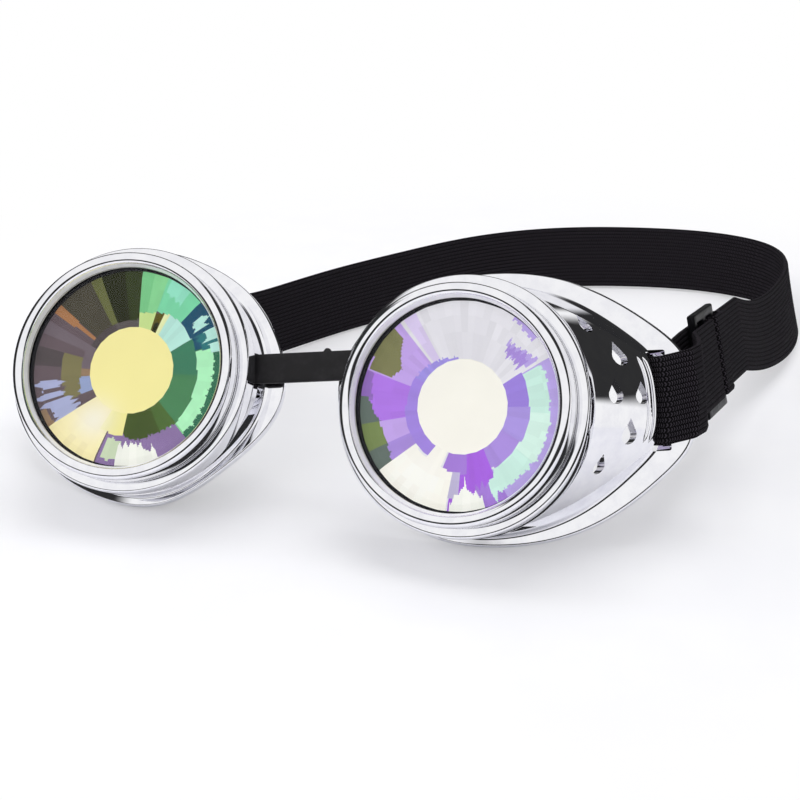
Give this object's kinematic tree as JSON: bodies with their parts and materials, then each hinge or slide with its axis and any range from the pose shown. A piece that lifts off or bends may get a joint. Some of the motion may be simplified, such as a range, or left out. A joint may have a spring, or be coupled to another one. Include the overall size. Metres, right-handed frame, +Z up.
{
  "type": "steampunk goggles",
  "caption": "Round costume goggles with faceted crystal lenses in screw-on rings, chromed vented eye cups, a bending nose bridge and an elastic head strap with a slider.",
  "frame": {"origin": "middle of the footprint, at the level of the table that the goggles lie on", "axes": "+X to the right of someone who looks at the lenses, +Y from the lenses to the back of the strap, +Z up"},
  "size_m": [0.2008, 0.2394, 0.063],
  "materials": {
    "chrome": "bright chrome plating on smooth plastic",
    "crystal": "polished facets with a rainbow coating",
    "black_rubber": "matte",
    "washer": "matte",
    "webbing": "ribbed woven elastic",
    "black_plastic": "gloss"
  },
  "bodies": {
    "left_eyepiece": {"left_eye_cup": "chrome", "left_lens_gasket": "black_rubber", "left_crystal_lens": "crystal", "nose_bridge": "black_rubber", "left_strap_loop": "webbing", "head_strap": "webbing"},
    "right_eyepiece": {"right_eye_cup": "chrome", "right_lens_gasket": "black_rubber", "right_crystal_lens": "crystal", "right_strap_loop": "webbing", "right_strap_run": "webbing"},
    "left_washer": {"left_slip_washer": "washer"},
    "left_ring": {"left_lens_ring": "chrome"},
    "right_washer": {"right_slip_washer": "washer"},
    "right_ring": {"right_lens_ring": "chrome"},
    "slider": {"strap_slider": "black_plastic"}
  },
  "joints": [
    {"name": "bridge_flex", "type": "hinge", "parent": "left_eyepiece", "child": "right_eyepiece", "pos_m": [-0.007, -0.08836, 0.0363], "axis": [-0.155, 0.464, 0.8722], "range_deg": [-20, 20], "stiffness_Nm_per_rad": 0.15, "deforming": ["nose_bridge", "head_strap"]},
    {"name": "left_ring_travel", "type": "slide", "parent": "left_eyepiece", "child": "left_washer", "axis": [0.0567, -0.8544, 0.5165], "range_m": [0, 0.003]},
    {"name": "left_ring_turn", "type": "hinge", "parent": "left_washer", "child": "left_ring", "pos_m": [-0.04839, -0.10586, 0.03871], "axis": [0.0567, -0.8544, 0.5165], "range_deg": [0, 720]},
    {"name": "right_ring_travel", "type": "slide", "parent": "right_eyepiece", "child": "right_washer", "axis": [-0.1112, -0.9053, 0.4099], "range_m": [0, 0.003]},
    {"name": "right_ring_turn", "type": "hinge", "parent": "right_washer", "child": "right_ring", "pos_m": [0.03291, -0.10586, 0.03831], "axis": [-0.1112, -0.9053, 0.4099], "range_deg": [0, 720]},
    {"name": "slider_shift", "type": "slide", "parent": "right_eyepiece", "child": "slider", "axis": [0.1452, 0.9838, -0.1048], "range_m": [0, 0.02], "deforming": ["right_strap_loop", "right_strap_run"]}
  ],
  "couplings": [
    {"joint": "left_ring_travel", "follows": "left_ring_turn", "m_per_rad": 0.00023873},
    {"joint": "right_ring_travel", "follows": "right_ring_turn", "m_per_rad": 0.00023873}
  ]
}
